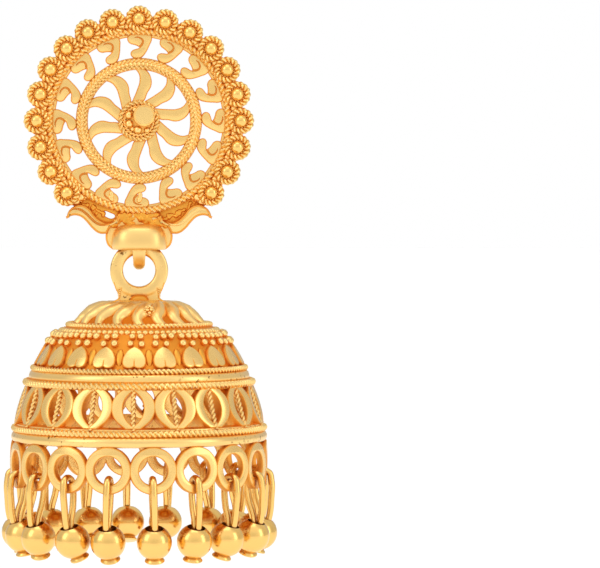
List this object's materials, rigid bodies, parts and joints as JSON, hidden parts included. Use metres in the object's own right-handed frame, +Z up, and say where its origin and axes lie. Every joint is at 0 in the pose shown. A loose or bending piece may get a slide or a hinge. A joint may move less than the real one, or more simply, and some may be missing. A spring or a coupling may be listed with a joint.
{
  "type": "jhumka drop earring",
  "caption": "Gold-tone jhumka drop earring: a pierced round stud with a post carries a swinging openwork bell fringed with round bead drops.",
  "frame": {"origin": "centre of the back of the round stud, where the ear post leaves it", "axes": "+Z up as the earring hangs, +Y along the post away from the viewer, +X to the viewer's right"},
  "size_m": [0.0244, 0.0243, 0.0487],
  "materials": {
    "cast_gold": "satin gold plate, polished on raised parts",
    "plain_gold": "polished gold plate"
  },
  "bodies": {
    "stud": {"rosette_stud": "cast_gold", "ear_post": "plain_gold"},
    "bell": {"bell": "cast_gold", "drop_link_01": "plain_gold", "drop_link_02": "plain_gold", "drop_link_03": "plain_gold", "drop_link_04": "plain_gold", "drop_link_05": "plain_gold", "drop_link_06": "plain_gold", "drop_link_07": "plain_gold", "drop_link_08": "plain_gold", "drop_link_09": "plain_gold", "drop_link_10": "plain_gold", "drop_link_11": "plain_gold", "drop_link_12": "plain_gold", "drop_link_13": "plain_gold", "drop_link_14": "plain_gold", "drop_link_15": "plain_gold", "drop_link_16": "plain_gold", "drop_link_17": "plain_gold", "drop_link_18": "plain_gold", "drop_bead_01": "plain_gold", "drop_bead_02": "plain_gold", "drop_bead_03": "plain_gold", "drop_bead_04": "plain_gold", "drop_bead_05": "plain_gold", "drop_bead_06": "plain_gold", "drop_bead_07": "plain_gold", "drop_bead_08": "plain_gold", "drop_bead_09": "plain_gold", "drop_bead_10": "plain_gold", "drop_bead_11": "plain_gold", "drop_bead_12": "plain_gold", "drop_bead_13": "plain_gold", "drop_bead_14": "plain_gold", "drop_bead_15": "plain_gold", "drop_bead_16": "plain_gold", "drop_bead_17": "plain_gold", "drop_bead_18": "plain_gold"}
  },
  "joints": [
    {"name": "bell_swing", "type": "hinge", "parent": "stud", "child": "bell", "pos_m": [0, -0.0004, -0.01252], "axis": [0, 1, 0], "range_deg": [-18, 18]}
  ]
}
